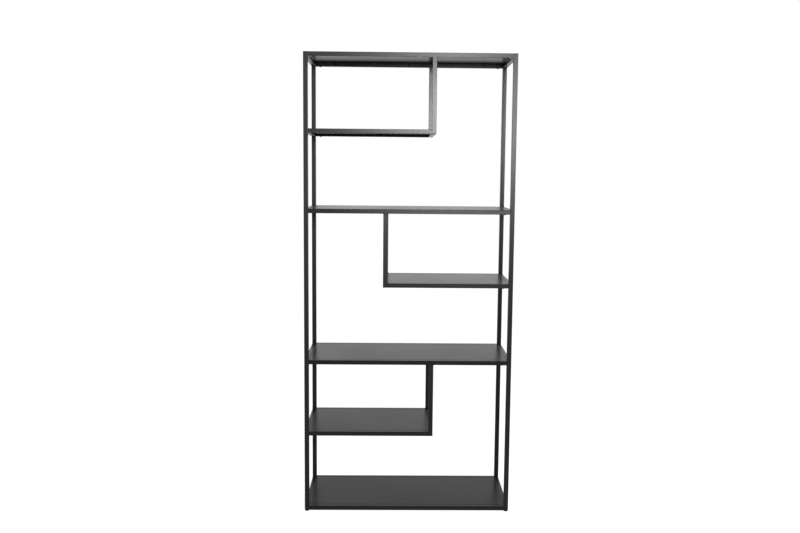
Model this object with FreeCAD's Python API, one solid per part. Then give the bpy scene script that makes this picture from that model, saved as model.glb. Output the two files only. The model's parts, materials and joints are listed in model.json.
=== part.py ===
"""Tall open bookcase of welded square steel tube with folded steel shelves and screw feet.

Millimetres. +X is to the right, +Y to the back, +Z up. The origin is on the floor, under the
middle of the bookcase. Each piece is a solid of its own in a file of its own. Like fasteners share
one file as a group of separate solids.
"""
import FreeCAD
import Part
import math
import os

Vector = FreeCAD.Vector

# Overall sizes of the steel frame
FRAME_WIDTH = 950.0
FRAME_DEPTH = 350.0
FRAME_HEIGHT = 2100.0

# Square tube of posts, rails and uprights
TUBE_SIZE = 20.0
TUBE_WALL = 1.2
TUBE_BEND = 0.3

# Shelf layout: the full shelves share the height evenly, the short ones hang below them
HANGING_DROP = 336.0
DIVIDER_OFFSET = 107.0

# Folded steel sheet of a shelf
SHEET_WALL = 1.2
SHEET_BEND = 1.3
SHEET_FLANGE = 18.0
SHEET_END_GAP = 0.5

# Spigots on the posts, which the shelf rails slide over
SPIGOT_LENGTH = 40.0
SPIGOT_WALL = 1.5
SPIGOT_BEND = 0.8
SPIGOT_CLEARANCE = 0.3

# Button-head bolt and its nut at each spigot
BOLT_DIAMETER = 6.0
BOLT_LENGTH = 10.0
BOLT_INSET = 24.0
BOLT_HOLE_CLEARANCE = 0.3
BOLT_THREAD_CLEARANCE = 0.05
BOLT_HEAD_DIAMETER = 10.5
BOLT_HEAD_HEIGHT = 3.3
BOLT_HEAD_ROUND = 2.2
BOLT_SOCKET_FLATS = 4.0
BOLT_SOCKET_DEPTH = 2.0
NUT_FLATS = 10.0
NUT_HEIGHT = 5.0

# Button-head screws that hold the front and rear flanges of a sheet to the rails
SCREW_DIAMETER = 4.0
SCREW_LENGTH = 8.0
SCREW_INSET = 94.0
SCREW_HOLE_CLEARANCE = 0.3
SCREW_THREAD_CLEARANCE = 0.05
SCREW_HEAD_DIAMETER = 9.5
SCREW_HEAD_HEIGHT = 2.6
SCREW_HEAD_ROUND = 1.8
SCREW_SOCKET_FLATS = 3.0
SCREW_SOCKET_DEPTH = 1.5
FULL_SHELF_SCREWS = 3
HANGING_SHELF_SCREWS = 2

# Holes in the back of the top rear rail for ties to a room's wall
WALL_HOLE_DIAMETER = 6.0
WALL_HOLE_SPACING = 600.0

# Plastic caps on the posts and plugs in the divider uprights
CAP_FLANGE = 4.0
PLUG_FLANGE = 1.5
PLUG_LENGTH = 15.0
PLUG_WALL = 1.8
PLUG_CLEARANCE = 0.1
PLUG_CORNER = 1.2

# Plastic insert in the bottom of each post
INSERT_FLANGE = 1.0
INSERT_LENGTH = 24.0

# Screw foot: plastic pad moulded on a steel stud
PAD_DIAMETER = 20.0
PAD_HEIGHT = 5.0
PAD_ROUND = 1.5
STUD_DIAMETER = 6.0
STUD_LENGTH = 20.0
STUD_SEAT = 3.0
STUD_SEAT_CLEARANCE = 0.05
STUD_THREAD_CLEARANCE = 0.08

# Sizes worked out from the driving dimensions
TUBE_CORNER = TUBE_BEND + TUBE_WALL
TUBE_BORE = TUBE_SIZE - 2 * TUBE_WALL
SPIGOT_SIZE = TUBE_BORE - 2 * SPIGOT_CLEARANCE
SPIGOT_CORNER = SPIGOT_BEND + SPIGOT_WALL
PLUG_SIZE = TUBE_BORE - 2 * PLUG_CLEARANCE
FRAME_BOTTOM = PAD_HEIGHT
FRAME_TOP = FRAME_BOTTOM + FRAME_HEIGHT
POST_BOTTOM = FRAME_BOTTOM + INSERT_FLANGE
POST_TOP = FRAME_TOP - CAP_FLANGE
POST_X = (FRAME_WIDTH - TUBE_SIZE) / 2
POST_Y = (FRAME_DEPTH - TUBE_SIZE) / 2
INNER_X = FRAME_WIDTH / 2 - TUBE_SIZE
INNER_Y = FRAME_DEPTH / 2 - TUBE_SIZE

# Sides of the bookcase
LEFT = -1
RIGHT = 1
FRONT = -1
REAR = 1
SIDE_NAMES = {LEFT: "left", RIGHT: "right"}
FACE_NAMES = {FRONT: "front", REAR: "rear"}

# Full shelves from the top down, and for each bay below one the side that its hanging shelf is on
FULL_SHELVES = ["top_shelf", "upper_shelf", "lower_shelf", "bottom_shelf"]
BAYS = [("upper", LEFT), ("middle", RIGHT), ("lower", LEFT)]
FULL_PITCH = (FRAME_HEIGHT - TUBE_SIZE) / (len(FULL_SHELVES) - 1)


def square_bar(size, corner, length):
    """Square bar with rounded corners, standing on the origin along Z."""
    bar = Part.makeBox(size, size, length, Vector(-size / 2, -size / 2, 0))
    upright_edges = [edge for edge in bar.Edges if edge.BoundBox.ZLength > length / 2]
    return bar.makeFillet(corner, upright_edges)


def square_tube(size, wall, bend, length):
    """Square tube with bent corners, standing on the origin along Z."""
    outside = square_bar(size, bend + wall, length)
    inside = square_bar(size - 2 * wall, bend, length)
    return outside.cut(inside)


def stand(shape, x, y, z):
    """Move an upright shape to a place."""
    shape.translate(Vector(x, y, z))
    return shape


def lay_along_x(shape, x, y, z):
    """Turn an upright shape to run along +X from a place."""
    shape.rotate(Vector(0, 0, 0), Vector(0, 1, 0), 90)
    return stand(shape, x, y, z)


def lay_along_y(shape, x, y, z, face=REAR):
    """Turn an upright shape to run from a place to the rear, or to the front."""
    shape.rotate(Vector(0, 0, 0), Vector(1, 0, 0), -90 * face)
    return stand(shape, x, y, z)


def frame_tube(length):
    """A length of the frame's square tube, standing along Z."""
    return square_tube(TUBE_SIZE, TUBE_WALL, TUBE_BEND, length)


def hexagon(flats, height):
    """Hexagonal bar standing along Z, with two of its flats facing along Y."""
    reach = flats / math.sqrt(3)
    corners = []
    for step in range(7):
        angle = math.radians(60 * step)
        corners.append(Vector(reach * math.cos(angle), reach * math.sin(angle), 0))
    return Part.Face(Part.makePolygon(corners)).extrude(Vector(0, 0, height))


def save(name, *solids):
    """Write one piece, or a group of like pieces, to its own file."""
    shape = solids[0] if len(solids) == 1 else Part.makeCompound(list(solids))
    shape.exportStep(os.path.join("parts", name + ".step"))


def post():
    """Upright tube at a corner, between the insert's flange and the cap's flange."""
    return frame_tube(POST_TOP - POST_BOTTOM)


def tube_plug(flange):
    """Hollow plastic plug for an open tube end: its flange starts at Z = 0, the plug hangs below."""
    plug = square_bar(PLUG_SIZE, PLUG_CORNER, PLUG_LENGTH)
    hollow = square_bar(PLUG_SIZE - 2 * PLUG_WALL, PLUG_CORNER, PLUG_LENGTH)
    cover = square_bar(TUBE_SIZE, TUBE_CORNER, flange)
    return stand(plug.cut(hollow), 0, 0, -PLUG_LENGTH).fuse(cover).removeSplitter()


def foot_insert():
    """Plastic insert with a bore for the foot's stud: the flange lies below Z = 0, the plug above."""
    plug = square_bar(PLUG_SIZE, PLUG_CORNER, INSERT_LENGTH)
    cover = stand(square_bar(TUBE_SIZE, TUBE_CORNER, INSERT_FLANGE), 0, 0, -INSERT_FLANGE)
    bore_radius = STUD_DIAMETER / 2 + STUD_THREAD_CLEARANCE
    bore = Part.makeCylinder(bore_radius, INSERT_FLANGE + INSERT_LENGTH, Vector(0, 0, -INSERT_FLANGE))
    return plug.fuse(cover).removeSplitter().cut(bore)


def foot_pad():
    """Round plastic pad that stands on Z = 0, with a seat for the stud in its top."""
    disc = Part.makeCylinder(PAD_DIAMETER / 2, PAD_HEIGHT)
    bottom_edge = [edge for edge in disc.Edges if edge.BoundBox.ZMax < PAD_HEIGHT / 2]
    seat_radius = STUD_DIAMETER / 2 + STUD_SEAT_CLEARANCE
    seat = Part.makeCylinder(seat_radius, STUD_SEAT, Vector(0, 0, PAD_HEIGHT - STUD_SEAT))
    return disc.makeFillet(PAD_ROUND, bottom_edge).cut(seat)


def foot_stud():
    """Steel stud that stands in the pad's seat and reaches up into the insert."""
    stud = Part.makeCylinder(STUD_DIAMETER / 2, STUD_SEAT + STUD_LENGTH)
    return stand(stud, 0, 0, PAD_HEIGHT - STUD_SEAT)


def bolt_hole(wall):
    """Cutter for a bolt hole that goes up through a wall whose lower face is at Z = 0."""
    return Part.makeCylinder(BOLT_DIAMETER / 2 + BOLT_HOLE_CLEARANCE, 2 * wall, Vector(0, 0, -wall / 2))


def button_head(diameter, height, crown, flats, depth):
    """Button head that hangs below Z = 0, with a hexagonal socket in its crown."""
    head = Part.makeCylinder(diameter / 2, height, Vector(0, 0, -height))
    crown_edge = [edge for edge in head.Edges if edge.BoundBox.ZMax < -height / 2]
    socket = stand(hexagon(flats, depth), 0, 0, -height)
    return head.makeFillet(crown, crown_edge).cut(socket)


def shelf_bolt():
    """Button-head bolt that points up, with the underside of its head at Z = 0."""
    head = button_head(
        BOLT_HEAD_DIAMETER, BOLT_HEAD_HEIGHT, BOLT_HEAD_ROUND, BOLT_SOCKET_FLATS, BOLT_SOCKET_DEPTH
    )
    return head.fuse(Part.makeCylinder(BOLT_DIAMETER / 2, BOLT_LENGTH)).removeSplitter()


def sheet_screw():
    """Button-head screw that points up, with the underside of its head at Z = 0."""
    head = button_head(
        SCREW_HEAD_DIAMETER, SCREW_HEAD_HEIGHT, SCREW_HEAD_ROUND, SCREW_SOCKET_FLATS, SCREW_SOCKET_DEPTH
    )
    return head.fuse(Part.makeCylinder(SCREW_DIAMETER / 2, SCREW_LENGTH)).removeSplitter()


def spigot_nut():
    """Hexagonal nut that stands on Z = 0."""
    bore = Part.makeCylinder(BOLT_DIAMETER / 2 + BOLT_THREAD_CLEARANCE, NUT_HEIGHT)
    return hexagon(NUT_FLATS, NUT_HEIGHT).cut(bore)


def shelf_sheet(length):
    """Folded sheet with its middle on the origin: flat on top, with a flange down each edge."""
    width = 2 * INNER_Y

    def slab(inset, bend):
        """Block inside the sheet's outline by an inset, with its upper edges rounded by a bend."""
        block = Part.makeBox(
            length - 2 * inset,
            width - 2 * inset,
            SHEET_FLANGE - inset,
            Vector(inset - length / 2, inset - width / 2, -SHEET_FLANGE),
        )
        upper_edges = [edge for edge in block.Edges if edge.BoundBox.ZMin > -SHEET_FLANGE + inset]
        return block.makeFillet(bend, upper_edges)

    return slab(0, SHEET_BEND + SHEET_WALL).cut(slab(SHEET_WALL, SHEET_BEND))


def spigot(side):
    """Short tube that starts at the post's inner face at X = 0 and points to the middle."""
    tube = square_tube(SPIGOT_SIZE, SPIGOT_WALL, SPIGOT_BEND, SPIGOT_LENGTH)
    start = 0 if side == LEFT else -SPIGOT_LENGTH
    tube = lay_along_x(tube, start, 0, 0)
    hole = stand(bolt_hole(SPIGOT_WALL), -side * BOLT_INSET, 0, -SPIGOT_SIZE / 2)
    return tube.cut(hole)


def shelf_rail(left, right, face, level, bolted_sides):
    """Rail of a shelf between two X values, with a bolt hole at each end that sits on a spigot."""
    rail = lay_along_x(frame_tube(right - left), left, face * POST_Y, level - TUBE_SIZE / 2)
    for side in bolted_sides:
        x = side * (INNER_X - BOLT_INSET)
        rail = rail.cut(stand(bolt_hole(TUBE_WALL), x, face * POST_Y, level - TUBE_SIZE))
    return rail


def drill_wall_holes(rail):
    """Drill the two wall holes through the back of a rear rail at the top of the frame."""
    for side in (LEFT, RIGHT):
        hole = Part.makeCylinder(WALL_HOLE_DIAMETER / 2, 4 * TUBE_WALL, Vector(0, 0, -2 * TUBE_WALL))
        x = side * WALL_HOLE_SPACING / 2
        rail = rail.cut(lay_along_y(hole, x, FRAME_DEPTH / 2, FRAME_TOP - TUBE_SIZE / 2))
    return rail


def screw_places(left, right, count):
    """X values of an even row of screws along a sheet, with the outer ones near its ends."""
    first = left + SCREW_INSET
    step = (right - SCREW_INSET - first) / (count - 1)
    return [first + index * step for index in range(count)]


def drill_screw_holes(shape, places, face, level, clearance):
    """Drill a shelf's sheet or rail where the screws go through one flange of the sheet."""
    reach = SHEET_WALL + TUBE_WALL
    for x in places:
        hole = Part.makeCylinder(SCREW_DIAMETER / 2 + clearance, 2 * reach, Vector(0, 0, -reach))
        shape = shape.cut(lay_along_y(hole, x, face * INNER_Y, level - TUBE_SIZE / 2))
    return shape


def save_shelf(name, level, left, right, bolted_sides):
    """Write the rails, sheet and end rails of one shelf, and return the screws that hold its sheet."""
    screws = []
    count = FULL_SHELF_SCREWS if name in FULL_SHELVES else HANGING_SHELF_SCREWS
    places = screw_places(left, right, count)
    sheet = shelf_sheet(right - left - 2 * SHEET_END_GAP)
    sheet = stand(sheet, (left + right) / 2, 0, level)
    for face in (FRONT, REAR):
        sheet = drill_screw_holes(sheet, places, face, level, SCREW_HOLE_CLEARANCE)
        rail = shelf_rail(left, right, face, level, bolted_sides)
        rail = drill_screw_holes(rail, places, face, level, SCREW_THREAD_CLEARANCE)
        if name == FULL_SHELVES[0] and face == REAR:
            rail = drill_wall_holes(rail)
        save(name + "_" + FACE_NAMES[face] + "_rail", rail)
        for x in places:
            head_y = face * (INNER_Y - SHEET_WALL)
            screws.append(lay_along_y(sheet_screw(), x, head_y, level - TUBE_SIZE / 2, face))
    save(name + "_sheet", sheet)
    for side in bolted_sides:
        end_rail = lay_along_y(frame_tube(2 * INNER_Y), side * POST_X, -INNER_Y, level - TUBE_SIZE / 2)
        save(name + "_" + SIDE_NAMES[side] + "_end_rail", end_rail)
    return screws


def spigot_joints(level, bolted_sides):
    """Spigots, nuts and bolts at the post ends of one shelf."""
    spigots = []
    nuts = []
    bolts = []
    for side in bolted_sides:
        bolt_x = side * (INNER_X - BOLT_INSET)
        spigot_floor = level - TUBE_SIZE / 2 - SPIGOT_SIZE / 2 + SPIGOT_WALL
        for face in (FRONT, REAR):
            y = face * POST_Y
            spigots.append(stand(spigot(side), side * INNER_X, y, level - TUBE_SIZE / 2))
            nuts.append(stand(spigot_nut(), bolt_x, y, spigot_floor))
            bolts.append(stand(shelf_bolt(), bolt_x, y, level - TUBE_SIZE))
    return spigots, nuts, bolts


def save_divider(name, x, level):
    """Write the uprights and foot rail of one divider, and return the plugs in its lower ends."""
    plugs = []
    lower_end = level - TUBE_SIZE + PLUG_FLANGE
    for face in (FRONT, REAR):
        y = face * POST_Y
        upright = stand(frame_tube(HANGING_DROP - PLUG_FLANGE), x, y, lower_end)
        save(name + "_divider_" + FACE_NAMES[face] + "_upright", upright)
        plug = tube_plug(PLUG_FLANGE)
        plug.rotate(Vector(0, 0, 0), Vector(1, 0, 0), 180)
        plugs.append(stand(plug, x, y, lower_end))
    foot_rail = lay_along_y(frame_tube(2 * INNER_Y), x, -INNER_Y, level - TUBE_SIZE / 2)
    save(name + "_divider_foot_rail", foot_rail)
    return plugs


def save_corners():
    """Write the posts with their caps and inserts, and the screw feet below them."""
    caps = []
    inserts = []
    for face in (FRONT, REAR):
        for side in (LEFT, RIGHT):
            x = side * POST_X
            y = face * POST_Y
            corner = FACE_NAMES[face] + "_" + SIDE_NAMES[side]
            save("post_" + corner, stand(post(), x, y, POST_BOTTOM))
            save("foot_pad_" + corner, stand(foot_pad(), x, y, 0))
            save("foot_stud_" + corner, stand(foot_stud(), x, y, 0))
            caps.append(stand(tube_plug(CAP_FLANGE), x, y, POST_TOP))
            inserts.append(stand(foot_insert(), x, y, POST_BOTTOM))
    save("post_top_caps", *caps)
    save("foot_inserts", *inserts)


def main():
    """Write every piece of the bookcase."""
    os.makedirs("parts", exist_ok=True)
    save_corners()
    spigots = []
    nuts = []
    bolts = []
    plugs = []
    screws = []
    shelves = []
    for index, name in enumerate(FULL_SHELVES):
        level = FRAME_TOP - index * FULL_PITCH
        shelves.append((name, level, -INNER_X, INNER_X, (LEFT, RIGHT)))
    for index, (bay, side) in enumerate(BAYS):
        level = FRAME_TOP - index * FULL_PITCH - HANGING_DROP
        divider_x = -side * DIVIDER_OFFSET
        free_end = divider_x + side * TUBE_SIZE / 2
        left = min(side * INNER_X, free_end)
        right = max(side * INNER_X, free_end)
        shelves.append((bay + "_hanging_shelf", level, left, right, (side,)))
        plugs += save_divider(bay, divider_x, level)
    for name, level, left, right, bolted_sides in shelves:
        screws += save_shelf(name, level, left, right, bolted_sides)
        more_spigots, more_nuts, more_bolts = spigot_joints(level, bolted_sides)
        spigots += more_spigots
        nuts += more_nuts
        bolts += more_bolts
    save("rail_spigots", *spigots)
    save("spigot_nuts", *nuts)
    save("shelf_bolts", *bolts)
    save("divider_end_plugs", *plugs)
    save("sheet_screws", *screws)


main()
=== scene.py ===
"""Looks for a tall open bookcase of black square tube with staggered hanging shelves.

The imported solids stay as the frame. This file coats them, adds the fasteners, weld beads, caps and
screw feet, and sets the stage. Metres, in the frame of the solids.
"""

import json
import math

import bmesh
import bpy
from bpy.props import FloatProperty, FloatVectorProperty, IntProperty, PointerProperty
from mathutils import Matrix, Vector


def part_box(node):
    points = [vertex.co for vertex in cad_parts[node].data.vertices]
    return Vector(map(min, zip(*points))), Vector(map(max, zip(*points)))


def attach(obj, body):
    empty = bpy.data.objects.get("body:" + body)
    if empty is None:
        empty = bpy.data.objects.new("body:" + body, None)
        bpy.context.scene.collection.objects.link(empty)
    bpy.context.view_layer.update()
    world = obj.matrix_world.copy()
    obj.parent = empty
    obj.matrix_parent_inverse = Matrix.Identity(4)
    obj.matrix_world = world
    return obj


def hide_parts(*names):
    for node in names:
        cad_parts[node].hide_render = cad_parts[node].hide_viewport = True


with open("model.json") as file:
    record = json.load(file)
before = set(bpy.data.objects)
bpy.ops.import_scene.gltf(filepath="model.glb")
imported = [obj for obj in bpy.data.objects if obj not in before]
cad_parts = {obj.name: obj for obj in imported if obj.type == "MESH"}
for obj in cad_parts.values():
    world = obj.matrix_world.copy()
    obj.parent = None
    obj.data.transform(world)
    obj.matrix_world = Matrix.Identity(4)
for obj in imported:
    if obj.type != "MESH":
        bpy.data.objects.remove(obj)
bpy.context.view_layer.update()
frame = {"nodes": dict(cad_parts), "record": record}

bl_info = {
    "name": "Staggered steel bookcase",
    "version": (1, 0, 0),
    "blender": (4, 5, 0),
    "location": "3D View > Sidebar > Bookcase",
    "description": "Coats a tall open bookcase and adds its fasteners, welds, caps, feet and stage",
    "category": "Object",
}

FULL_SHELVES = ("top_shelf", "upper_shelf", "lower_shelf", "bottom_shelf")
HANGING_SHELVES = ("upper_hanging_shelf", "middle_hanging_shelf", "lower_hanging_shelf")
SHELVES = FULL_SHELVES + HANGING_SHELVES
MIDDLE_SHELVES = FULL_SHELVES[1:3] + HANGING_SHELVES[1:2]
LOWEST_SHELVES = FULL_SHELVES[3:] + HANGING_SHELVES[2:]
DIVIDERS = ("upper_divider", "middle_divider", "lower_divider")
CORNERS = ("front_left", "front_right", "rear_left", "rear_right")
RECORD_COLOURS = {entry["slot"]: entry["base_color"] for entry in frame["record"]["materials"]}

# Sides and steps of round shapes
HEAD_SIDES = 28
SHANK_SIDES = 16
SOCKET_SIDES = 6
RIPPLE_SIDES = 10
RIPPLE_RINGS = 6
PAD_SIDES = 48
RIB_SIDES = 8
STUD_SIDES = 24
THREAD_STEPS = 24
RIDGE_SIDES = 6
RIM_STEPS = 4

# Shares of a head's height, a shank's length, a thread's pitch and a pad's rim
DOME_SHARE = 0.82
SHANK_MIDDLE_SHARE = 0.48
RIDGE_SHARE = 0.36
RIB_GAP_SHARE = 1.2

# Smallest and largest scale of a weld's ripples
RIPPLE_RANGE = ((0.85, 0.85, 0.75), (1.1, 1.1, 1.0))

# Middle part of a noise's range, which most of the noise fills
NOISE_RANGE = (0.3, 0.7)

# Heights that differ by less are the same
SAME_HEIGHT = 1e-5

# Kinds of inputs of a tree
NUMBER = "NodeSocketFloat"
COUNT = "NodeSocketInt"
VECTOR = "NodeSocketVector"


def length_setting(label, words, default):
    """Setting for a length."""
    return FloatProperty(name=label, description=words, unit="LENGTH", default=default)


def share_setting(label, words, default):
    """Setting for a value between nought and one."""
    return FloatProperty(name=label, description=words, subtype="FACTOR", default=default, min=0, max=1)


def level_setting(label, words, default):
    """Setting for a level of light."""
    return FloatProperty(name=label, description=words, default=default, min=0)


def power_setting(label, words, default):
    """Setting for the power of a lamp."""
    return FloatProperty(name=label, description=words, unit="POWER", default=default)


def lens_setting(label, words, default):
    """Setting for a length inside the camera, in millimetres."""
    return FloatProperty(name=label, description=words, unit="CAMERA", default=default, min=1)


def count_setting(label, words, default):
    """Setting for a number of pieces in a row, which has two ends."""
    return IntProperty(name=label, description=words, default=default, min=2)


def seed_setting(words, default):
    """Setting for the seed of a random choice."""
    return IntProperty(name="Seed", description=words, default=default)


def pair_setting(label, words, default, unit="LENGTH"):
    """Setting for two values, which are lengths unless another unit is given."""
    return FloatVectorProperty(name=label, description=words, size=2, unit=unit, default=default)


def place_setting(label, words, default):
    """Setting for a place."""
    return FloatVectorProperty(
        name=label, description=words, subtype="TRANSLATION", unit="LENGTH", default=default
    )


def colour_setting(label, words, default):
    """Setting for a colour."""
    return FloatVectorProperty(
        name=label, description=words, subtype="COLOR", default=default, min=0, max=1
    )


class CoatFinish(bpy.types.PropertyGroup):
    """Satin powder coat on the tubes and sheets."""

    colour: colour_setting("Colour", "Colour of the cured powder", RECORD_COLOURS["black_powder_coat"])
    roughness: share_setting("Roughness", "Middle value of the satin gloss", 0.3)
    cloud: length_setting("Cloud", "Size of the slow changes of tone and gloss", 0.35)
    tone_change: share_setting("Tone change", "Share by which the clouds change the colour", 0.12)
    gloss_change: share_setting("Gloss change", "Amount by which the clouds change the roughness", 0.03)
    grain: length_setting("Grain", "Size of the coat's fine grain", 0.0008)
    grain_height: length_setting("Grain height", "Height of the fine grain", 0.00003)
    peel: length_setting("Peel", "Size of the soft waves in the cured coat", 0.006)
    peel_height: length_setting("Peel height", "Height of the soft waves", 0.00003)


class SmallPartFinish(bpy.types.PropertyGroup):
    """Colours of the plastic, the bolts and the plated steel."""

    plastic: colour_setting("Plastic", "Colour of caps, plugs and feet", RECORD_COLOURS["black_plastic"])
    bolt: colour_setting("Bolt", "Colour of the coated bolts and screws", RECORD_COLOURS["black_bolt"])
    zinc: colour_setting("Zinc", "Colour of the plated studs and nuts", RECORD_COLOURS["zinc_steel"])


class BoltSizes(bpy.types.PropertyGroup):
    """Button-head bolts under the ends of the rails."""

    inset: length_setting("Inset", "Distance from the end of the rail", 0.024)
    head_diameter: length_setting("Head diameter", "Width of the head", 0.0105)
    head_height: length_setting("Head height", "Height of the head", 0.0033)
    socket: length_setting("Socket", "Width of the socket across its flats", 0.004)
    shank_diameter: length_setting("Shank diameter", "Width of the shank", 0.006)
    shank_length: length_setting("Shank length", "Length below the head", 0.010)
    seed: seed_setting("Seed of the turns of the sockets", 1)


class ScrewSizes(bpy.types.PropertyGroup):
    """Button-head screws through the flanges of the sheets."""

    inset: length_setting("Inset", "Distance from the end of the rail", 0.094)
    full_row: count_setting("Full row", "Screws along a flange of a full shelf", 3)
    hanging_row: count_setting("Hanging row", "Screws along a flange of a hanging shelf", 2)
    flange: length_setting("Flange", "Thickness of the sheet's flange", 0.0012)
    head_diameter: length_setting("Head diameter", "Width of the head", 0.0095)
    head_height: length_setting("Head height", "Height of the head", 0.0026)
    socket: length_setting("Socket", "Width of the socket across its flats", 0.003)
    shank_diameter: length_setting("Shank diameter", "Width of the shank", 0.004)
    shank_length: length_setting("Shank length", "Length below the head", 0.008)
    seed: seed_setting("Seed of the turns of the sockets", 2)


class WeldSizes(bpy.types.PropertyGroup):
    """Weld beads in the corners of the frame."""

    radius: length_setting("Radius", "Leg of the bead", 0.0022)
    pitch: length_setting("Pitch", "Distance between ripples", 0.0012)
    end_gap: length_setting("End gap", "Bare length at each end of a bead", 0.0035)
    seed: seed_setting("Seed of the uneven ripples", 4)


class FootSizes(bpy.types.PropertyGroup):
    """Screw feet with their grip and thread, and the rims of the caps and plugs."""

    rim: length_setting("Rim", "Rounding of the pad's edges", 0.0012)
    ribs: count_setting("Ribs", "Number of grip ribs around a pad", 30)
    rib_depth: length_setting("Rib depth", "Depth of a grip rib", 0.0004)
    thread_pitch: length_setting("Thread pitch", "Rise of the thread in one turn", 0.001)
    thread_depth: length_setting("Thread depth", "Depth of the thread", 0.0005)
    cap_rim: length_setting("Cap rim", "Rounding of the caps and plugs", 0.0008)


class StageSettings(bpy.types.PropertyGroup):
    """Floor, backdrop, lamps and camera."""

    floor_colour: colour_setting("Floor", "Colour of the floor", (0.86, 0.86, 0.86))
    floor_size: length_setting("Floor size", "Side of the floor", 24.0)
    floor_lift: level_setting("Floor lift", "Light on the floor that only the camera sees", 0.79)
    floor_front: level_setting("Floor front", "Level of the dim floor in front, in reflections", 0.16)
    floor_fade: pair_setting(
        "Floor fade", "Y range over which the floor turns white in reflections", (1.0, 10.0)
    )
    key_power: power_setting("Key power", "Power of the softbox at the upper right", 58.0)
    key_size: pair_setting("Key size", "Width and height of this softbox", (0.4, 0.9))
    key_place: place_setting("Key place", "Place of this softbox", (0.57, -3.8, 2.08))
    key_aim: place_setting("Key aim", "Point that the softboxes face", (0.0, 0.0, 1.6))
    side_power: power_setting("Side power", "Power of the weaker softbox beside it", 17.0)
    side_size: pair_setting("Side size", "Width and height of the weaker softbox", (0.25, 0.9))
    side_place: place_setting("Side place", "Place of the weaker softbox", (0.12, -3.8, 2.08))
    low_power: power_setting("Low power", "Power of the softbox for the underside of the top shelf", 21.0)
    low_size: pair_setting("Low size", "Width and height of this softbox", (0.8, 0.23))
    low_place: place_setting("Low place", "Place of this softbox, below the top shelf", (0.59, -3.8, 1.945))
    rail_power: power_setting("Rail power", "Power of the softbox for the middle front rails", 21.0)
    rail_size: pair_setting("Rail size", "Width and height of this softbox", (1.6, 0.22))
    rail_place: place_setting(
        "Rail place", "Place of this softbox, below the top of the upper shelf", (0.54, -3.8, 1.29)
    )
    fill: level_setting("Fill", "Level of the soft light from all around", 0.28)
    room: level_setting("Room", "Level of the dim room behind the camera", 0.22)
    room_fade: pair_setting(
        "Room fade",
        "Range over which the room turns into the backdrop in reflections, as a sine of the angle",
        (-0.6, 0.5),
        unit="NONE",
    )
    backdrop_fade: pair_setting(
        "Backdrop fade",
        "Rise over which the backdrop ends in reflections, as a sine of the angle",
        (0.12, 0.56),
        unit="NONE",
    )
    ceiling: level_setting("Ceiling", "Level of the ceiling in reflections, beside the backdrop", 0.38)
    camera_place: place_setting("Camera", "Place of the camera", (-0.0649, -3.4815, 1.5853))
    camera_turn: FloatVectorProperty(
        name="Turn",
        description="Turn to the right, tilt down and roll of the camera",
        unit="ROTATION",
        default=(0.0132, 0.0952, 0.0088),
    )
    lens: lens_setting("Lens", "Focal length", 33.13)
    sensor: lens_setting("Sensor", "Width of the sensor", 36.0)
    shift: pair_setting(
        "Shift", "Sideways and upward shift of the picture", (-0.00548, -0.0319), unit="NONE"
    )


def add_node(tree, kind, place, inputs=None, **attributes):
    """Add a node, set its attributes, and set its inputs or link them to other nodes' outputs."""
    node = tree.nodes.new(kind)
    node.location = place
    for name, value in attributes.items():
        setattr(node, name, value)
    for key, value in (inputs or {}).items():
        if isinstance(value, bpy.types.NodeSocket):
            tree.links.new(value, node.inputs[key])
        else:
            node.inputs[key].default_value = value
    return node


def product(tree, first, second, place):
    """Product of two values, each a number or a node's output."""
    inputs = {0: first, 1: second}
    return add_node(tree, "ShaderNodeMath", place, inputs, operation="MULTIPLY").outputs["Value"]


def faded(tree, value, span, levels, place, course="SMOOTHSTEP"):
    """Level that goes from one to another as a value crosses a span."""
    inputs = {
        "Value": value,
        "From Min": span[0],
        "From Max": span[1],
        "To Min": levels[0],
        "To Max": levels[1],
    }
    return add_node(tree, "ShaderNodeMapRange", place, inputs, interpolation_type=course).outputs["Result"]


def noise(tree, coordinates, size, detail, place):
    """Noise texture whose features are about as large as a size in metres."""
    inputs = {"Vector": coordinates, "Scale": 1 / size, "Detail": detail}
    return add_node(tree, "ShaderNodeTexNoise", place, inputs).outputs["Fac"]


def spread(tree, value, low, high, place):
    """Map a noise's middle range to a range of values."""
    return faded(tree, value, NOISE_RANGE, (low, high), place, "LINEAR")


def tint(tree, value, colour, low, high, place):
    """Vary a colour's brightness between two factors, led by a noise."""
    node = add_node(tree, "ShaderNodeValToRGB", place, {"Fac": value})
    for stop, position, factor in zip(node.color_ramp.elements, NOISE_RANGE, (low, high)):
        stop.position = position
        stop.color = [part * factor for part in colour] + [1]
    return node.outputs["Color"]


def raised(tree, value, height, place, normal=None):
    """Bump of a height in metres, on top of another bump where one is given."""
    inputs = {"Height": value, "Distance": height}
    if normal is not None:
        inputs["Normal"] = normal
    return add_node(tree, "ShaderNodeBump", place, inputs).outputs["Normal"]


def new_finish(name):
    """Material with a Principled shader, and its tree, shader and Object coordinates."""
    material = bpy.data.materials.new(name)
    material.use_nodes = True
    tree = material.node_tree
    shader = tree.nodes["Principled BSDF"]
    coordinates = add_node(tree, "ShaderNodeTexCoord", (-1100, 0)).outputs["Object"]
    return material, tree, shader, coordinates


def join_finish(tree, shader, tone, gloss, bumps):
    """Link a colour, a roughness and a bump to a shader."""
    tree.links.new(tone, shader.inputs["Base Color"])
    tree.links.new(gloss, shader.inputs["Roughness"])
    tree.links.new(bumps, shader.inputs["Normal"])


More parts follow.
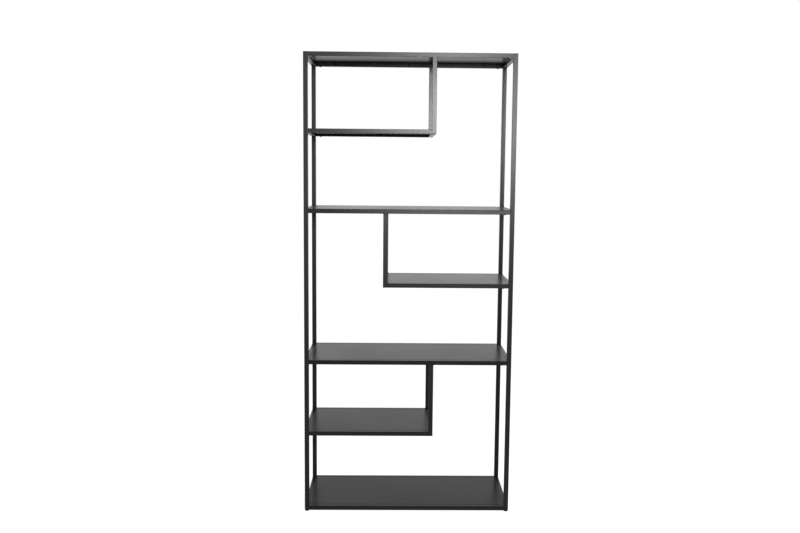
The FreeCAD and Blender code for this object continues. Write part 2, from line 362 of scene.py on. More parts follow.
def powder_coat():
    """Satin black powder: cloudy tone, fine grain and soft peel."""
    name = "satin_black_powder"
    if name in bpy.data.materials:
        return bpy.data.materials[name]
    coat = bpy.context.scene.coat_finish
    material, tree, shader, coordinates = new_finish(name)
    cloud = noise(tree, coordinates, size=coat.cloud, detail=3, place=(-800, 300))
    grain = noise(tree, coordinates, size=coat.grain, detail=2, place=(-800, 0))
    peel = noise(tree, coordinates, size=coat.peel, detail=1, place=(-800, -300))
    tone = tint(tree, cloud, coat.colour, 1 - coat.tone_change, 1 + coat.tone_change, (-500, 300))
    smoothest = coat.roughness - coat.gloss_change
    roughest = coat.roughness + coat.gloss_change
    gloss = spread(tree, cloud, smoothest, roughest, (-500, 50))
    waves = raised(tree, peel, coat.peel_height, (-500, -300))
    bumps = raised(tree, grain, coat.grain_height, (-250, -200), waves)
    join_finish(tree, shader, tone, gloss, bumps)
    return material


def moulded_plastic():
    """Black moulded plastic with a faint spark-eroded grain."""
    name = "moulded_black_plastic"
    if name in bpy.data.materials:
        return bpy.data.materials[name]
    material, tree, shader, coordinates = new_finish(name)
    shader.inputs["Specular IOR Level"].default_value = 0.28
    colour = bpy.context.scene.small_part_finish.plastic
    flow = noise(tree, coordinates, size=0.012, detail=2, place=(-800, 300))
    grain = noise(tree, coordinates, size=0.0006, detail=3, place=(-800, -200))
    tone = tint(tree, flow, colour, low=0.85, high=1.2, place=(-500, 300))
    gloss = spread(tree, grain, low=0.58, high=0.72, place=(-500, 50))
    bumps = raised(tree, grain, height=0.00004, place=(-500, -250))
    join_finish(tree, shader, tone, gloss, bumps)
    return material


def coated_bolt():
    """Black coated steel, a little worn in places."""
    name = "black_coated_steel"
    if name in bpy.data.materials:
        return bpy.data.materials[name]
    material, tree, shader, coordinates = new_finish(name)
    shader.inputs["Specular IOR Level"].default_value = 0.2
    colour = bpy.context.scene.small_part_finish.bolt
    wear = noise(tree, coordinates, size=0.0025, detail=4, place=(-800, 300))
    grain = noise(tree, coordinates, size=0.0004, detail=2, place=(-800, -200))
    tone = tint(tree, wear, colour, low=0.7, high=1.5, place=(-500, 300))
    gloss = spread(tree, wear, low=0.3, high=0.42, place=(-500, 50))
    bumps = raised(tree, grain, height=0.00002, place=(-500, -250))
    join_finish(tree, shader, tone, gloss, bumps)
    return material


def plated_zinc():
    """Bright zinc plate with a cloudy tone and fine pits."""
    name = "bright_zinc_plate"
    if name in bpy.data.materials:
        return bpy.data.materials[name]
    material, tree, shader, coordinates = new_finish(name)
    shader.inputs["Metallic"].default_value = 1
    colour = bpy.context.scene.small_part_finish.zinc
    cloud = noise(tree, coordinates, size=0.004, detail=3, place=(-800, 300))
    pits = noise(tree, coordinates, size=0.0005, detail=2, place=(-800, -200))
    tone = tint(tree, cloud, colour, low=0.8, high=1.15, place=(-500, 300))
    gloss = spread(tree, cloud, low=0.26, high=0.4, place=(-500, 50))
    bumps = raised(tree, pits, height=0.00002, place=(-500, -250))
    join_finish(tree, shader, tone, gloss, bumps)
    return material


def coat_node(name, material):
    """Give a node of the frame a material in all its slots."""
    node = frame["nodes"][name]
    if not node.data.materials:
        node.data.materials.append(material)
    for index in range(len(node.data.materials)):
        node.data.materials[index] = material


def new_object(name, mesh):
    """Add a mesh to the scene as an object at the origin."""
    thing = bpy.data.objects.new(name, mesh)
    bpy.context.scene.collection.objects.link(thing)
    return thing


def point_mesh(name, places, edges=()):
    """Mesh of bare points, or of lines between them."""
    mesh = bpy.data.meshes.new(name)
    mesh.from_pydata(places, list(edges), [])
    return mesh


def new_tree(name, inputs):
    """Geometry Nodes tree with named inputs and a material, and its group input and output nodes."""
    tree = bpy.data.node_groups.new(name, "GeometryNodeTree")
    tree.interface.new_socket("Geometry", in_out="INPUT", socket_type="NodeSocketGeometry")
    for label, kind in inputs.items():
        tree.interface.new_socket(label, in_out="INPUT", socket_type=kind)
    tree.interface.new_socket("Material", in_out="INPUT", socket_type="NodeSocketMaterial")
    tree.interface.new_socket("Geometry", in_out="OUTPUT", socket_type="NodeSocketGeometry")
    start = add_node(tree, "NodeGroupInput", (-1400, 0))
    end = add_node(tree, "NodeGroupOutput", (1000, 0))
    return tree, start, end


def close_tree(tree, start, end, geometry):
    """End a tree in Realize Instances and Set Material."""
    realize = add_node(tree, "GeometryNodeRealizeInstances", (600, 0), {"Geometry": geometry})
    inputs = {"Geometry": realize.outputs["Geometry"], "Material": start.outputs["Material"]}
    paint = add_node(tree, "GeometryNodeSetMaterial", (800, 0), inputs)
    tree.links.new(paint.outputs["Geometry"], end.inputs["Geometry"])


def close_joined_tree(tree, start, end, shape, shift):
    """End a tree in a shape that is moved and joined to what came in."""
    inputs = {"Geometry": shape, "Translation": shift}
    move = add_node(tree, "GeometryNodeTransform", (-300, 0), inputs)
    join = add_node(tree, "GeometryNodeJoinGeometry", (200, 0))
    tree.links.new(start.outputs["Geometry"], join.inputs["Geometry"])
    tree.links.new(move.outputs["Geometry"], join.inputs["Geometry"])
    close_tree(tree, start, end, join.outputs["Geometry"])


def grow(name, seed_mesh, tree, values):
    """Run a tree on a seed mesh and return the result as a plain mesh object."""
    seed = new_object(name + "_seed", seed_mesh)
    modifier = seed.modifiers.new("grow", "NODES")
    modifier.node_group = tree
    for item in tree.interface.items_tree:
        if item.in_out == "INPUT" and item.name in values:
            modifier[item.identifier] = values[item.name]
    bpy.context.view_layer.update()
    evaluated = seed.evaluated_get(bpy.context.evaluated_depsgraph_get())
    mesh = bpy.data.meshes.new_from_object(evaluated)
    seed.modifiers.remove(modifier)
    bpy.data.objects.remove(seed)
    if not mesh.polygons:
        raise RuntimeError(name + " came out empty")
    mesh.name = name
    return new_object(name, mesh)


def smooth(mesh, angle):
    """Shade a mesh smooth, apart from edges sharper than an angle in degrees."""
    for face in mesh.polygons:
        face.use_smooth = True
    mesh.set_sharp_from_angle(angle=math.radians(angle))


def lifted(tree, mesh, height, place):
    """Mesh moved up by the value of a socket."""
    vector = add_node(tree, "ShaderNodeCombineXYZ", place, {"Z": height}).outputs["Vector"]
    inputs = {"Geometry": mesh, "Translation": vector}
    return add_node(tree, "GeometryNodeTransform", (place[0] + 160, place[1]), inputs).outputs["Geometry"]


def bar(tree, corners, radius, depth, place):
    """Upright bar with a number of corners, its middle at the origin."""
    inputs = {"Vertices": corners, "Radius": radius, "Depth": depth}
    return add_node(tree, "GeometryNodeMeshCylinder", place, inputs).outputs["Mesh"]


def combined(tree, operation, first, second, place):
    """Two meshes joined, cut or intersected into one closed mesh."""
    node = add_node(tree, "GeometryNodeMeshBoolean", place, operation=operation)
    first_socket = "Mesh 1" if operation == "DIFFERENCE" else "Mesh 2"
    sockets = {socket.identifier: socket for socket in node.inputs}
    tree.links.new(first, sockets[first_socket])
    tree.links.new(second, sockets["Mesh 2"])
    return node.outputs["Mesh"]


def button_fastener_tree():
    """Tree that sets a button-head fastener on each point, with its head along the point's aim."""
    name = "button_fasteners"
    if name in bpy.data.node_groups:
        return bpy.data.node_groups[name]
    inputs = {
        "Head Diameter": NUMBER,
        "Head Height": NUMBER,
        "Dome Radius": NUMBER,
        "Dome Drop": NUMBER,
        "Socket": NUMBER,
        "Shank Diameter": NUMBER,
        "Shank Length": NUMBER,
        "Seed": COUNT,
    }
    tree, start, end = new_tree(name, inputs)
    size = start.outputs
    ball = {"Segments": HEAD_SIDES, "Rings": HEAD_SIDES, "Radius": size["Dome Radius"]}
    dome = add_node(tree, "GeometryNodeMeshUVSphere", (-1100, 400), ball)
    crown = lifted(tree, dome.outputs["Mesh"], size["Dome Drop"], (-900, 400))
    blank_depth = product(tree, size["Head Height"], 2, (-1100, 150))
    blank_radius = product(tree, size["Head Diameter"], 0.5, (-1100, 0))
    blank = bar(tree, HEAD_SIDES, blank_radius, blank_depth, (-900, 100))
    raised_blank = lifted(tree, blank, size["Head Height"], (-700, 100))
    head = combined(tree, "INTERSECT", crown, raised_blank, (-450, 300))
    shank_radius = product(tree, size["Shank Diameter"], 0.5, (-1100, -200))
    shank_middle = product(tree, size["Shank Length"], -SHANK_MIDDLE_SHARE, (-1100, -350))
    shank = bar(tree, SHANK_SIDES, shank_radius, size["Shank Length"], (-900, -250))
    lowered_shank = lifted(tree, shank, shank_middle, (-700, -250))
    body = combined(tree, "UNION", head, lowered_shank, (-250, 200))
    socket_radius = product(tree, size["Socket"], 1 / math.sqrt(3), (-1100, -500))
    cutter = bar(tree, SOCKET_SIDES, socket_radius, size["Head Height"], (-900, -500))
    key_hole = lifted(tree, cutter, size["Head Height"], (-700, -500))
    fastener = combined(tree, "DIFFERENCE", body, key_hole, (-50, 100))
    attribute = {"Name": "aim"}
    place = (-450, -300)
    aim = add_node(tree, "GeometryNodeInputNamedAttribute", place, attribute, data_type="FLOAT_VECTOR")
    ahead = {"Vector": aim.outputs["Attribute"]}
    align = add_node(tree, "FunctionNodeAlignRotationToVector", (-250, -300), ahead, axis="Z")
    angle = add_node(tree, "FunctionNodeRandomValue", (-450, -500), data_type="FLOAT")
    sockets = {socket.identifier: socket for socket in angle.inputs}
    sockets["Min_001"].default_value = 0
    sockets["Max_001"].default_value = math.tau / SOCKET_SIDES
    tree.links.new(size["Seed"], sockets["Seed"])
    random_angle = [socket for socket in angle.outputs if socket.identifier == "Value_001"][0]
    about = {"Axis": (0, 0, 1), "Angle": random_angle}
    spin = add_node(tree, "FunctionNodeAxisAngleToRotation", (-250, -500), about)
    both = {"Rotation": align.outputs["Rotation"], "Rotate By": spin.outputs["Rotation"]}
    turn = add_node(tree, "FunctionNodeRotateRotation", (-50, -400), both, rotation_space="LOCAL")
    rows = {"Points": size["Geometry"], "Instance": fastener, "Rotation": turn.outputs["Rotation"]}
    scatter = add_node(tree, "GeometryNodeInstanceOnPoints", (300, 0), rows)
    close_tree(tree, start, end, scatter.outputs["Instances"])
    return tree


def grow_fasteners(name, places, aims, sizes):
    """Grow button-head fasteners at places, each with its head along an aim."""
    mesh = point_mesh(name, places)
    attribute = mesh.attributes.new("aim", "FLOAT_VECTOR", "POINT")
    for index, aim in enumerate(aims):
        attribute.data[index].vector = aim
    dome_height = DOME_SHARE * sizes.head_height
    dome_radius = ((sizes.head_diameter / 2) ** 2 + dome_height ** 2) / (2 * dome_height)
    values = {
        "Head Diameter": sizes.head_diameter,
        "Head Height": sizes.head_height,
        "Dome Radius": dome_radius,
        "Dome Drop": sizes.head_height - dome_radius,
        "Socket": sizes.socket,
        "Shank Diameter": sizes.shank_diameter,
        "Shank Length": sizes.shank_length,
        "Seed": sizes.seed,
        "Material": coated_bolt(),
    }
    fasteners = grow(name, mesh, button_fastener_tree(), values)
    smooth(fasteners.data, angle=40)
    return fasteners


def weld_bead_tree():
    """Tree that lays a row of uneven ripples along each line."""
    tree, start, end = new_tree("weld_beads", {"Radius": NUMBER, "Pitch": NUMBER, "Seed": COUNT})
    size = start.outputs
    curve = add_node(tree, "GeometryNodeMeshToCurve", (-1100, 200), {"Mesh": size["Geometry"]})
    stretch = {"Curve": curve.outputs["Curve"], "Length": size["Pitch"]}
    steps = add_node(tree, "GeometryNodeResampleCurve", (-850, 200), stretch, mode="LENGTH")
    ball = {"Segments": RIPPLE_SIDES, "Rings": RIPPLE_RINGS, "Radius": size["Radius"]}
    ripple = add_node(tree, "GeometryNodeMeshUVSphere", (-850, -100), ball)
    tangent = add_node(tree, "GeometryNodeInputTangent", (-850, -300))
    ahead = {"Vector": tangent.outputs["Tangent"]}
    align = add_node(tree, "FunctionNodeAlignRotationToVector", (-600, -300), ahead, axis="Z")
    uneven = add_node(tree, "FunctionNodeRandomValue", (-600, -500), data_type="FLOAT_VECTOR")
    sockets = {socket.identifier: socket for socket in uneven.inputs}
    sockets["Min"].default_value = RIPPLE_RANGE[0]
    sockets["Max"].default_value = RIPPLE_RANGE[1]
    tree.links.new(size["Seed"], sockets["Seed"])
    rows = {
        "Points": steps.outputs["Curve"],
        "Instance": ripple.outputs["Mesh"],
        "Rotation": align.outputs["Rotation"],
        "Scale": uneven.outputs["Value"],
    }
    scatter = add_node(tree, "GeometryNodeInstanceOnPoints", (-200, 0), rows)
    close_tree(tree, start, end, scatter.outputs["Instances"])
    return tree


def weld_lines(gap):
    """Ends of every weld bead: each line lies in the corner between two welded tubes."""
    lines = []

    def along_x(node, y, z):
        low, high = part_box(node)
        lines.append(((low.x + gap, y, z), (high.x - gap, y, z)))

    def along_y(node, x, z):
        low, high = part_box(node)
        lines.append(((x, low.y + gap, z), (x, high.y - gap, z)))

    for shelf in SHELVES:
        for side in ("left", "right"):
            node = shelf + "_" + side + "_end_rail"
            if node not in frame["nodes"]:
                continue
            low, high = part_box(node)
            for y in (low.y, high.y):
                along_x(node, y, low.z)
                if shelf != FULL_SHELVES[0]:
                    along_x(node, y, high.z)
    for divider, shelf in zip(DIVIDERS, HANGING_SHELVES):
        low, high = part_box(divider + "_foot_rail")
        for y in (low.y, high.y):
            along_x(divider + "_foot_rail", y, high.z)
        for face in ("front", "rear"):
            upright = divider + "_" + face + "_upright"
            low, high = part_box(upright)
            for x in (low.x, high.x):
                along_y(upright, x, high.z)
            rail_low, rail_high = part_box(shelf + "_" + face + "_rail")
            meeting_x = low.x if rail_low.x < low.x else high.x
            along_y(upright, meeting_x, rail_high.z)
    return lines


def kept_mesh(name, shape):
    """Mesh of a shape that is done with."""
    mesh = bpy.data.meshes.new(name)
    shape.to_mesh(mesh)
    shape.free()
    return mesh


def turned_mesh(name, profile, sides, foot):
    """Closed mesh made by turning (radius, height) pairs about the upright axis through its foot."""
    shape = bmesh.new()
    points = [shape.verts.new((radius, 0, height)) for radius, height in profile]
    edges = [shape.edges.new(pair) for pair in zip(points, points[1:])]
    bmesh.ops.spin(
        shape,
        geom=points + edges,
        cent=(0, 0, 0),
        axis=(0, 0, 1),
        angle=math.tau,
        steps=sides,
        use_merge=True,
    )
    bmesh.ops.remove_doubles(shape, verts=shape.verts, dist=1e-7)
    bmesh.ops.recalc_face_normals(shape, faces=shape.faces)
    bmesh.ops.translate(shape, verts=shape.verts, vec=foot)
    return kept_mesh(name, shape)


def rounded(radius, height, rim, up):
    """Quarter round at the rim of a disc, as (radius, height) pairs from the bottom up."""
    pairs = []
    for step in range(RIM_STEPS + 1):
        angle = math.pi / 2 * step / RIM_STEPS
        out = math.cos(angle) if up else math.sin(angle)
        rise = math.sin(angle) if up else -math.cos(angle)
        pairs.append((radius - rim + rim * out, height + rim * rise))
    return pairs


def foot_pad_tree():
    """Tree that adds a ring of upright grip ribs to a pad."""
    name = "foot_pad_ribs"
    if name in bpy.data.node_groups:
        return bpy.data.node_groups[name]
    inputs = {
        "Centre": VECTOR,
        "Ribs": COUNT,
        "Ring Radius": NUMBER,
        "Rib Radius": NUMBER,
        "Rib Height": NUMBER,
    }
    tree, start, end = new_tree(name, inputs)
    size = start.outputs
    around = {"Vertices": size["Ribs"], "Radius": size["Ring Radius"]}
    ring = add_node(tree, "GeometryNodeMeshCircle", (-1000, 0), around)
    rib = bar(tree, RIB_SIDES, size["Rib Radius"], size["Rib Height"], (-1000, -250))
    rows = {"Points": ring.outputs["Mesh"], "Instance": rib}
    scatter = add_node(tree, "GeometryNodeInstanceOnPoints", (-600, 0), rows)
    close_joined_tree(tree, start, end, scatter.outputs["Instances"], size["Centre"])
    return tree


def stud_thread_tree():
    """Tree that winds a thread around a stud."""
    name = "stud_thread"
    if name in bpy.data.node_groups:
        return bpy.data.node_groups[name]
    inputs = {
        "Foot": VECTOR,
        "Turns": NUMBER,
        "Helix Radius": NUMBER,
        "Ridge Radius": NUMBER,
        "Height": NUMBER,
    }
    tree, start, end = new_tree(name, inputs)
    size = start.outputs
    winding = {
        "Resolution": THREAD_STEPS,
        "Rotations": size["Turns"],
        "Start Radius": size["Helix Radius"],
        "End Radius": size["Helix Radius"],
        "Height": size["Height"],
    }
    helix = add_node(tree, "GeometryNodeCurveSpiral", (-1000, 0), winding)
    circle = {"Resolution": RIDGE_SIDES, "Radius": size["Ridge Radius"]}
    ridge = add_node(tree, "GeometryNodeCurvePrimitiveCircle", (-1000, -300), circle)
    tube = {"Curve": helix.outputs["Curve"], "Profile Curve": ridge.outputs["Curve"], "Fill Caps": True}
    sweep = add_node(tree, "GeometryNodeCurveToMesh", (-700, 0), tube)
    close_joined_tree(tree, start, end, sweep.outputs["Mesh"], size["Foot"])
    return tree


def softened_copy(node, name, heights, width):
    """Copy of a node with the outline at given heights rounded off."""
    shape = bmesh.new()
    shape.from_mesh(frame["nodes"][node].data)
    bmesh.ops.remove_doubles(shape, verts=shape.verts, dist=1e-6)
    bmesh.ops.dissolve_limit(shape, angle_limit=math.radians(0.5), verts=shape.verts, edges=shape.edges)
    outline = []
    for edge in shape.edges:
        if any(all(abs(vert.co.z - height) < SAME_HEIGHT for vert in edge.verts) for height in heights):
            outline.append(edge)
    if not outline:
        raise RuntimeError("no outline found on " + node)
    bmesh.ops.bevel(shape, geom=outline, offset=width, segments=RIM_STEPS, profile=0.5, affect="EDGES")
    piece = new_object(name, kept_mesh(name, shape))
    smooth(piece.data, angle=30)
    piece.data.materials.append(moulded_plastic())
    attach(piece, "bookcase")
    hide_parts(node)
    return piece


def shiny_ray(tree, path, place):
    """One where a ray was mirrored or went through something clear, otherwise nought."""
    inputs = {0: path.outputs["Is Glossy Ray"], 1: path.outputs["Is Transmission Ray"]}
    return add_node(tree, "ShaderNodeMath", place, inputs, operation="MAXIMUM").outputs["Value"]


class BOOKCASE_OT_coat_tubes(bpy.types.Operator):
    """Coat the posts, rails, uprights and spigots"""

    bl_idname = "bookcase.coat_tubes"
    bl_label = "Coat the tubes"

    def execute(self, context):
        for name in frame["nodes"]:
            if name.startswith("post_") and name != "post_top_caps":
                coat_node(name, powder_coat())
            if name.endswith(("_rail", "_upright", "_spigots")):
                coat_node(name, powder_coat())
        return {"FINISHED"}


class BOOKCASE_OT_coat_sheets(bpy.types.Operator):
    """Coat the folded sheets of the shelves"""

    bl_idname = "bookcase.coat_sheets"
    bl_label = "Coat the sheets"

    def execute(self, context):
        for shelf in SHELVES:
            coat_node(shelf + "_sheet", powder_coat())
        return {"FINISHED"}


class BOOKCASE_OT_shelf_bolts(bpy.types.Operator):
    """Set the bolts under the rail ends, and plate the nuts in the spigots"""

    bl_idname = "bookcase.shelf_bolts"
    bl_label = "Shelf bolts and nuts"

    def execute(self, context):
        sizes = context.scene.bolt_sizes
        places = []
        for shelf in SHELVES:
            for side in ("left", "right"):
                if shelf + "_" + side + "_end_rail" not in frame["nodes"]:
                    continue
                for face in ("front", "rear"):
                    low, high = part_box(shelf + "_" + face + "_rail")
                    x = low.x + sizes.inset if side == "left" else high.x - sizes.inset
                    places.append((x, (low.y + high.y) / 2, low.z))
        bolts = grow_fasteners("shelf_button_bolts", places, [(0, 0, -1)] * len(places), sizes)
        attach(bolts, "bookcase")
        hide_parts("shelf_bolts")
        coat_node("spigot_nuts", plated_zinc())
        return {"FINISHED"}


class BOOKCASE_OT_sheet_screws(bpy.types.Operator):
    """Set the screws through the front and rear flanges of the sheets"""

    bl_idname = "bookcase.sheet_screws"
    bl_label = "Sheet screws"

    def execute(self, context):
        sizes = context.scene.screw_sizes
        places = []
        aims = []
        for shelf in SHELVES:
            count = sizes.full_row if shelf in FULL_SHELVES else sizes.hanging_row
            for face, inward in (("front", 1), ("rear", -1)):
                low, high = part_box(shelf + "_" + face + "_rail")
                first = low.x + sizes.inset
                step = (high.x - sizes.inset - first) / (count - 1)
                rail_face = high.y if inward > 0 else low.y
                for index in range(count):
                    x = first + index * step
                    places.append((x, rail_face + inward * sizes.flange, (low.z + high.z) / 2))
                    aims.append((0, inward, 0))
        screws = grow_fasteners("sheet_button_screws", places, aims, sizes)
        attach(screws, "bookcase")
        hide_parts("sheet_screws")
        return {"FINISHED"}


class BOOKCASE_OT_weld_beads(bpy.types.Operator):
    """Lay the weld beads in the corners between the tubes"""

    bl_idname = "bookcase.weld_beads"
    bl_label = "Weld beads"

    def execute(self, context):
        sizes = context.scene.weld_sizes
        places = []
        edges = []
        for line in weld_lines(sizes.end_gap):
            edges.append((len(places), len(places) + 1))
            places.extend(line)
        values = {
            "Radius": sizes.radius,
            "Pitch": sizes.pitch,
            "Seed": sizes.seed,
            "Material": powder_coat(),
        }
        name = "corner_weld_beads"
        beads = grow(name, point_mesh(name, places, edges), weld_bead_tree(), values)
        smooth(beads.data, angle=180)
        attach(beads, "bookcase")
        return {"FINISHED"}


class BOOKCASE_OT_caps_and_plugs(bpy.types.Operator):
    """Round off the caps of the posts and the plugs of the uprights"""

    bl_idname = "bookcase.caps_and_plugs"
    bl_label = "Caps and plugs"

    def execute(self, context):
        rim = context.scene.foot_sizes.cap_rim
        cap_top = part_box("post_top_caps")[1].z
        softened_copy("post_top_caps", "post_moulded_caps", [cap_top], rim)
        plug_bottoms = [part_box(divider + "_foot_rail")[0].z for divider in DIVIDERS]
        softened_copy("divider_end_plugs", "divider_moulded_plugs", plug_bottoms, rim)
        return {"FINISHED"}


class BOOKCASE_OT_screw_feet(bpy.types.Operator):
    """Make the ribbed pads and threaded studs of the feet"""

    bl_idname = "bookcase.screw_feet"
    bl_label = "Screw feet"

    def execute(self, context):
        for corner in CORNERS:
            self.make_pad(context.scene.foot_sizes, corner)
            self.make_stud(context.scene.foot_sizes, corner)
        coat_node("foot_inserts", moulded_plastic())
        return {"FINISHED"}

    def make_pad(self, sizes, corner):
        """Ribbed plastic pad of one foot."""
        low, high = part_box("foot_pad_" + corner)
        stud_low, stud_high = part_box("foot_stud_" + corner)
        radius = (high.x - low.x) / 2 - sizes.rib_depth
        neck = (stud_high.x - stud_low.x) / 2
        height = high.z - low.z
        profile = [(0, 0)] + rounded(radius, sizes.rim, sizes.rim, False)
        profile += rounded(radius, height - sizes.rim, sizes.rim, True) + [(neck, height), (0, height)]
        x, y = (low.x + high.x) / 2, (low.y + high.y) / 2
        values = {
            "Centre": (x, y, low.z + height / 2),
            "Ribs": sizes.ribs,
            "Ring Radius": radius - sizes.rib_depth,
            "Rib Radius": 2 * sizes.rib_depth,
            "Rib Height": height - 2 * RIB_GAP_SHARE * sizes.rim,
            "Material": moulded_plastic(),
        }
        name = "foot_ribbed_pad_" + corner
        pad = grow(name, turned_mesh(name, profile, PAD_SIDES, (x, y, low.z)), foot_pad_tree(), values)
        smooth(pad.data, angle=40)
        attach(pad, "foot_" + corner)
        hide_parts("foot_pad_" + corner)

    def make_stud(self, sizes, corner):
        """Threaded stud of one foot."""
        low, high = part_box("foot_stud_" + corner)
        radius = (high.x - low.x) / 2
        root = radius - sizes.thread_depth
        tip = sizes.thread_depth
        length = high.z - low.z
        profile = [(0, 0), (root, 0), (root, length - tip), (root - tip, length), (0, length)]
        x, y = (low.x + high.x) / 2, (low.y + high.y) / 2
        ridge = RIDGE_SHARE * sizes.thread_pitch
        thread_height = length - 2 * tip - 2 * ridge
        values = {
            "Foot": (x, y, low.z + ridge),
            "Turns": thread_height / sizes.thread_pitch,
            "Helix Radius": radius - ridge,
            "Ridge Radius": ridge,
            "Height": thread_height,
            "Material": plated_zinc(),
        }
        name = "foot_threaded_stud_" + corner
        stud = grow(name, turned_mesh(name, profile, STUD_SIDES, (x, y, low.z)), stud_thread_tree(), values)
        smooth(stud.data, angle=50)
        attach(stud, "foot_" + corner)
        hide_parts("foot_stud_" + corner)


class BOOKCASE_OT_stage(bpy.types.Operator):
    """Set the floor, the light and the camera"""

    bl_idname = "bookcase.stage"
    bl_label = "Stage"

    def execute(self, context):
        settings = context.scene.stage_settings
        context.scene.view_settings.view_transform = "Standard"
        self.set_floor(settings)
        self.set_world(context.scene, settings)
        self.set_lamps(settings)
        self.set_camera(context.scene, settings)
        return {"FINISHED"}

    def set_floor(self, settings):
        """Wide pale floor that keeps the shadow: white to the camera, dim in front in reflections."""
        name = "studio_floor"
        shape = bmesh.new()
        bmesh.ops.create_grid(shape, x_segments=1, y_segments=1, size=settings.floor_size / 2)
        floor = new_object(name, kept_mesh(name, shape))
        material = bpy.data.materials.new("pale_floor")
        material.use_nodes = True
        tree = material.node_tree
        tree.nodes.clear()
        path = add_node(tree, "ShaderNodeLightPath", (-700, 400))
        colour = {"Color": list(settings.floor_colour) + [1]}
        paper = add_node(tree, "ShaderNodeBsdfDiffuse", (-200, 200), colour)
        lift = product(tree, path.outputs["Is Camera Ray"], settings.floor_lift, (-450, 100))
        glow = add_node(tree, "ShaderNodeEmission", (-200, 50), {"Strength": lift})
        both = {0: paper.outputs["BSDF"], 1: glow.outputs["Emission"]}
        lit = add_node(tree, "ShaderNodeAddShader", (50, 150), both)
        place = add_node(tree, "ShaderNodeNewGeometry", (-900, -300))
        split = add_node(tree, "ShaderNodeSeparateXYZ", (-700, -300), {"Vector": place.outputs["Position"]})
        pale = faded(tree, split.outputs["Y"], settings.floor_fade, (settings.floor_front, 1), (-450, -300))
        mirrored = add_node(tree, "ShaderNodeEmission", (-200, -250), {"Strength": pale})
        shiny = shiny_ray(tree, path, (-450, 500))
        choice = {"Fac": shiny, 1: lit.outputs["Shader"], 2: mirrored.outputs["Emission"]}
        mix = add_node(tree, "ShaderNodeMixShader", (300, 0), choice)
        add_node(tree, "ShaderNodeOutputMaterial", (600, 0), {"Surface": mix.outputs["Shader"]})
        floor.data.materials.append(material)

    def set_world(self, scene, settings):
        """White backdrop to the camera, a pale one behind the object in reflections, and soft fill."""
        world = bpy.data.worlds.new("studio")
        world.use_nodes = True
        tree = world.node_tree
        background = tree.nodes["Background"]
        background.inputs["Color"].default_value = (1, 1, 1, 1)
        path = add_node(tree, "ShaderNodeLightPath", (-1200, 400))
        aim = add_node(tree, "ShaderNodeTexCoord", (-1400, -200))
        split = add_node(tree, "ShaderNodeSeparateXYZ", (-1200, -200), {"Vector": aim.outputs["Generated"]})
        behind = faded(tree, split.outputs["Y"], settings.room_fade, (settings.room, 1), (-1000, 0))
        fall = faded(tree, split.outputs["Z"], settings.backdrop_fade, (1, settings.ceiling), (-1000, -300))
        around = product(tree, behind, fall, (-700, -200))
        shiny = shiny_ray(tree, path, (-750, 300))
        choice = {"Factor": shiny, "A": settings.fill, "B": around}
        mirror = add_node(tree, "ShaderNodeMix", (-450, 0), choice, data_type="FLOAT")
        view = {"Factor": path.outputs["Is Camera Ray"], "A": mirror.outputs["Result"], "B": 1}
        shown = add_node(tree, "ShaderNodeMix", (-250, 200), view, data_type="FLOAT")
        tree.links.new(shown.outputs["Result"], background.inputs["Strength"])
        scene.world = world

    def set_lamps(self, settings):
        """Softboxes for the upright faces, the middle front rails and the underside of the top shelf."""
        nodes = frame["nodes"]
        middle_rails = [nodes[shelf + "_front_rail"] for shelf in MIDDLE_SHELVES]
        lowest_rails = [nodes[shelf + "_front_rail"] for shelf in LOWEST_SHELVES]
        # Kept out of the light, because flat tops and small domes would glare white from behind
        unlit = [bpy.data.objects["sheet_button_screws"], bpy.data.objects["corner_weld_beads"]]
        for name, node in nodes.items():
            if name.endswith(("_sheet", "_rear_rail", "_end_rail", "_foot_rail")):
                unlit.append(node)
        for name in ("key", "side"):
            lamp = self.softbox(settings, name, settings.key_aim)
            self.choose_lit(lamp, unlit + middle_rails + lowest_rails, "EXCLUDE")
            # The lowest rails get the same light without its shine
            dull = self.softbox(settings, name, settings.key_aim)
            dull.visible_glossy = False
            self.choose_lit(dull, lowest_rails, "INCLUDE")
        low = self.softbox(settings, "low", settings.key_aim)
        self.choose_lit(low, [nodes[FULL_SHELVES[0] + "_sheet"]], "INCLUDE")
        rail_aim = (settings.key_aim[0], settings.key_aim[1], settings.rail_place[2])
        rail = self.softbox(settings, "rail", rail_aim)
        self.choose_lit(rail, middle_rails, "INCLUDE")

    def softbox(self, settings, name, aim):
        """Rectangular lamp with the settings of a name, which faces a point and doesn't show itself."""
        lamp = bpy.data.lights.new(name + "_softbox", "AREA")
        lamp.shape = "RECTANGLE"
        lamp.size, lamp.size_y = getattr(settings, name + "_size")
        lamp.energy = getattr(settings, name + "_power")
        thing = bpy.data.objects.new(lamp.name, lamp)
        thing.location = getattr(settings, name + "_place")
        thing.rotation_euler = (Vector(aim) - thing.location).to_track_quat("-Z", "Y").to_euler()
        thing.visible_camera = False
        bpy.context.scene.collection.objects.link(thing)
        return thing

    def choose_lit(self, lamp, pieces, state):
        """Let a lamp light only some pieces, or all but those."""
        chosen = bpy.data.collections.new(lamp.name + "_choice")
        for piece in pieces:
            chosen.objects.link(piece)
        for entry in chosen.collection_objects:
            entry.light_linking.link_state = state
        lamp.light_linking.receiver_collection = chosen

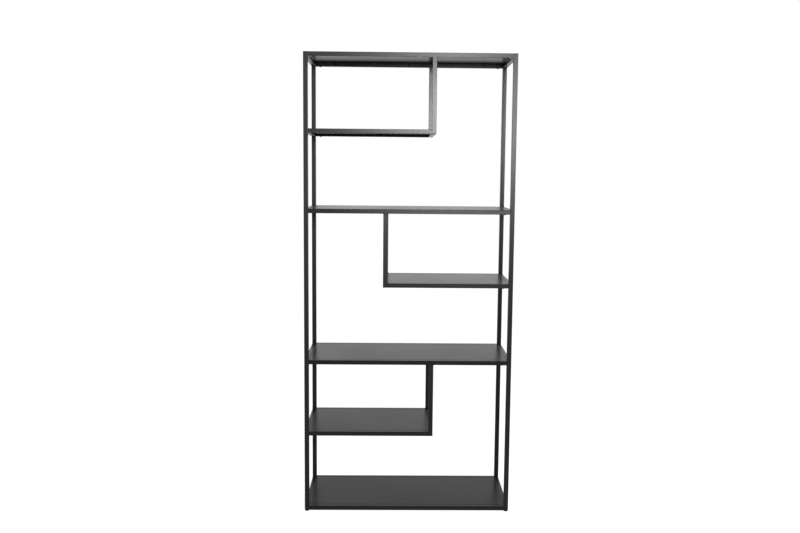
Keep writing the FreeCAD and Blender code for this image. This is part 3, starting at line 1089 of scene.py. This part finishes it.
    def set_camera(self, scene, settings):
        """Camera at the photograph's place and angle."""
        turn, tilt, roll = settings.camera_turn
        ahead = Vector((math.sin(turn) * math.cos(tilt), math.cos(turn) * math.cos(tilt), -math.sin(tilt)))
        level = Vector((math.cos(turn), -math.sin(turn), 0))
        upward = level.cross(ahead)
        right = level * math.cos(roll) + upward * math.sin(roll)
        up = upward * math.cos(roll) - level * math.sin(roll)
        lens = bpy.data.cameras.new("camera")
        lens.lens = settings.lens
        lens.sensor_width = settings.sensor
        lens.shift_x, lens.shift_y = settings.shift
        camera = bpy.data.objects.new("camera", lens)
        rotation = Matrix((right, up, -ahead)).transposed().to_4x4()
        camera.matrix_world = Matrix.Translation(settings.camera_place) @ rotation
        scene.collection.objects.link(camera)
        scene.camera = camera


OPERATORS = (
    BOOKCASE_OT_coat_tubes,
    BOOKCASE_OT_coat_sheets,
    BOOKCASE_OT_shelf_bolts,
    BOOKCASE_OT_sheet_screws,
    BOOKCASE_OT_weld_beads,
    BOOKCASE_OT_caps_and_plugs,
    BOOKCASE_OT_screw_feet,
    BOOKCASE_OT_stage,
)


class BOOKCASE_PT_tools(bpy.types.Panel):
    """Lists the steps that dress the bookcase."""

    bl_idname = "BOOKCASE_PT_tools"
    bl_label = "Bookcase"
    bl_space_type = "VIEW_3D"
    bl_region_type = "UI"
    bl_category = "Bookcase"

    def draw(self, context):
        for operator in OPERATORS:
            self.layout.operator(operator.bl_idname)


SETTINGS = {
    "coat_finish": CoatFinish,
    "small_part_finish": SmallPartFinish,
    "bolt_sizes": BoltSizes,
    "screw_sizes": ScrewSizes,
    "weld_sizes": WeldSizes,
    "foot_sizes": FootSizes,
    "stage_settings": StageSettings,
}


def register():
    """Register the settings, the operators and the panel."""
    for name, group in SETTINGS.items():
        bpy.utils.register_class(group)
        setattr(bpy.types.Scene, name, PointerProperty(type=group))
    for operator in OPERATORS:
        bpy.utils.register_class(operator)
    bpy.utils.register_class(BOOKCASE_PT_tools)


def unregister():
    """Remove the panel, the operators and the settings."""
    bpy.utils.unregister_class(BOOKCASE_PT_tools)
    for operator in reversed(OPERATORS):
        bpy.utils.unregister_class(operator)
    for name, group in reversed(SETTINGS.items()):
        delattr(bpy.types.Scene, name)
        bpy.utils.unregister_class(group)


def main():
    """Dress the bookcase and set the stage."""
    register()
    bpy.ops.bookcase.coat_tubes()
    bpy.ops.bookcase.coat_sheets()
    bpy.ops.bookcase.shelf_bolts()
    bpy.ops.bookcase.sheet_screws()
    bpy.ops.bookcase.weld_beads()
    bpy.ops.bookcase.caps_and_plugs()
    bpy.ops.bookcase.screw_feet()
    bpy.ops.bookcase.stage()


if __name__ == "__main__":
    main()
